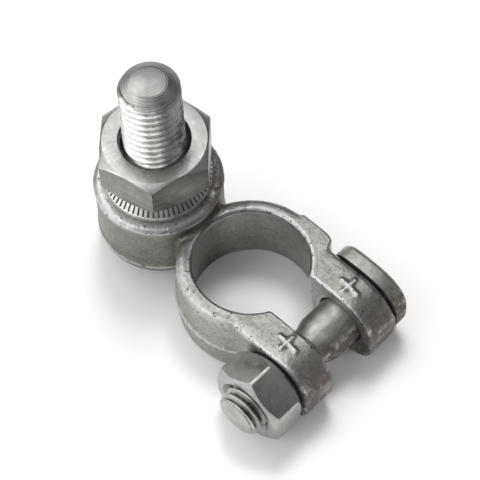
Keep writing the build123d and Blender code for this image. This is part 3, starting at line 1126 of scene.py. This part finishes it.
# %% Plated and turned steel
def steel(name, low, high, roughness, grain=0.25, warmth=0.02, brushed=False,
          marks=None, root_shade=None, stains_and_shade=()):
    """Steel with its greys, with brush or turning marks, painted shade in thread roots, and stain
    with painted shade, where they are given.

    Marks are the centre, axis and pitch of a spiral. Root shade is an axis and
    the two distances from it between which a thread darkens, as painted shade
    in its roots.
    """
    look = Look(name)
    cloud = look.span(look.noise(380, 4), 0.35, 0.65)
    colour = look.mix(cloud, grey(low, warmth), grey(high, warmth))
    mottle = look.span(look.noise(1700, 3), 0.30, 0.70, 0.88, 1.08)
    if brushed:
        mottle = look.span(look.noise(350, 3, stretch=(1, 1, 10)), 0.30, 0.70, 0.76, 1.16)
    colour = look.tint(colour, mottle)
    normal = look.bump(look.noise(2600, 3), grain, 0.00005)
    if marks:
        spiral = rings(look, *marks)
        colour = look.mix(look.times(spiral, 0.3), colour, grey(low * 0.6, warmth))
        normal = look.bump(spiral, 0.4, 0.00006, normal)
    if root_shade:
        centre, across, shallow, deep = root_shade
        ragged = look.span(look.noise(1500, 3), 0.3, 0.7, -0.10, 0.10)
        ragged = look.plus(look.radius(centre, across), ragged)
        # Painted shade: the thread darkens towards its roots, in the brown of stains.
        colour = look.mix(look.span(ragged, shallow, deep, 0.0, 0.9), colour, STAIN_AND_SHADE_BROWN)
    if stains_and_shade:
        # Brown stain and painted shade near the given places.
        colour = look.brown_stain_and_shade(colour, stains_and_shade, 0.85, 520)
    satin = look.span(look.noise(800, 3), 0.3, 0.7, roughness - 0.05, roughness + 0.08)
    look.finish(colour, satin, normal)
    return look.material


# %% Finishes of the small pieces
STUD_AXIS = ((0, STUD_Y, 0), (1.0, 1.0, 0.0))
BOLT_AXIS = ((0, BOLT_Y, BOLT_Z), (0.0, 1.0, 1.0))
# Painted shade on the stud's right side, away from the lamps, in the brown of stains.
STUD_SIDE_SHADE = [((7.0, 16.0, 31.0), 5.0, 10.0)]
# Brown stain and painted shade on the front of the shank and on the head's nose.
BOLT_STAINS_AND_SHADE = [
    ((-3.0, -20.0, 6.5), 2.8, 6.0),
    ((3.0, -20.0, 6.5), 2.8, 6.0),
    ((12.5, -21.5, 6.5), 4.0, 9.5),
]

nut_look = steel("plated_nut", 0.38, 0.46, 0.30)
# The stud nut's flats are brushed, and darker as painted shade.
shaded_flats_look = steel("plated_nut_flats_shaded", 0.20, 0.25, 0.30, warmth=0.06, brushed=True)
small_nut_look = steel("darkened_nut", 0.34, 0.42, 0.34)
# The clamp nut's flats are lighter than the rest of the nut, as painted light.
small_flats_look = steel("clamp_nut_flats_lit", 0.38, 0.46, 0.36, warmth=0.03)
stud_look = steel(
    "turned_stud", 0.62, 0.74, 0.30, root_shade=(*STUD_AXIS, 4.62, 4.2), stains_and_shade=STUD_SIDE_SHADE
)
stud_end_look = steel("turned_stud_end", 0.38, 0.44, 0.34, marks=((0, STUD_Y, 0), 2, 0.36))
bolt_look = steel(
    "forged_bolt", 0.34, 0.53, 0.42, 0.7, warmth=0.04, root_shade=(*BOLT_AXIS, 3.5, 3.2),
    stains_and_shade=BOLT_STAINS_AND_SHADE,
)
bolt_end_look = steel("forged_bolt_end", 0.36, 0.46, 0.38, 0.5, warmth=0.03)
washer_look = steel("plated_washer", 0.50, 0.62, 0.34)
# The washer's grooves are darker, as painted shade between the ribs.
groove_shade_look = steel("washer_grooves_shaded", 0.14, 0.22, 0.5, warmth=0.06)
print(len(bpy.data.materials), "materials in the scene")

# %% [markdown]
# ## Put the pieces on their bodies
#
# Each piece takes its material, moves with one body of the part, and hides
# the plain solid that it stands for. A row names the piece, its material,
# the body, the solid, and the part's own slot that its finish belongs to.

# %% Dress and ride
DRESSING = [
    (casting, cast.material, "clamp", "clamp_body", "tinned_casting"),
    (stud, stud_look, "clamp", "stud", "turned_steel"),
    (washer, washer_look, "stud_washer", "stud_washer", "plated_steel"),
    (stud_nut, nut_look, "stud_nut", "stud_nut", "plated_steel"),
    (bolt, bolt_look, "clamp_bolt", "clamp_bolt", "turned_steel"),
    (clamp_nut, small_nut_look, "clamp_nut", "clamp_nut", "plated_steel"),
]
for piece, look, body, node, slot in DRESSING:
    piece.data.materials.clear()
    piece.data.materials.append(look)
    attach(piece, body)
    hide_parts(node)
print(len(DRESSING), "pieces dressed")

# %% [markdown]
# ### Second materials
#
# The turned ends were worked in another way than the rest of their piece.
# The stud nut's flats are brushed and darkened as painted shade, the clamp
# nut's flats are lightened as painted light, and the washer's grooves are
# darkened as painted shade. Their faces are picked by place and normal,
# and get a second material on the same mesh.

# %% Pick faces by place and normal
def finish_faces(piece, look, wanted):
    """Assign a second material to the faces that the test picks by centre and normal."""
    piece.data.materials.append(look)
    slot = len(piece.data.materials) - 1
    count = 0
    for face in piece.data.polygons:
        if wanted(face.center / MM, face.normal):
            face.material_index = slot
            count += 1
    print(look.name, "on", count, "faces of", piece.name)


def flats(middle, axis, beyond):
    """A test for faces that stand along an axis, past a distance from it."""

    def test(centre, normal):
        offset = centre - Vector(middle)
        offset[axis] = 0
        return abs(normal[axis]) < 0.1 and offset.length > beyond

    return test


def stud_end(centre, normal):
    """The top of the stud and its chamfer."""
    return normal.z > 0.5 and centre.z > STUD_TOP - 1.4


def bolt_ends(centre, normal):
    """The end of the thread, and the head's outer face."""
    between = SEAT - BOLT_END + 0.2 < centre.x < SEAT + HEAD_THICKNESS - 0.35
    return abs(normal.x) > 0.9 and not between


def in_groove(centre, normal):
    """Faces of the washer's cone that were sunk between two ribs."""
    x, y = centre.x, centre.y - STUD_Y
    on_cone = 7.3 < math.hypot(x, y) < 8.1 and 0.2 < normal.z < 0.9
    return on_cone and rib_column(x, y) < SUNK_COLUMNS


# %% Flats, turned ends and grooves
finish_faces(stud_nut, shaded_flats_look, flats((0, STUD_Y, 0), 2, STUD_NUT_FLATS / 2 - 0.5))
finish_faces(clamp_nut, small_flats_look, flats((0, BOLT_Y, BOLT_Z), 0, CLAMP_NUT_FLATS / 2 - 0.35))
finish_faces(stud, stud_end_look, stud_end)
finish_faces(bolt, bolt_end_look, bolt_ends)
finish_faces(washer, groove_shade_look, in_groove)
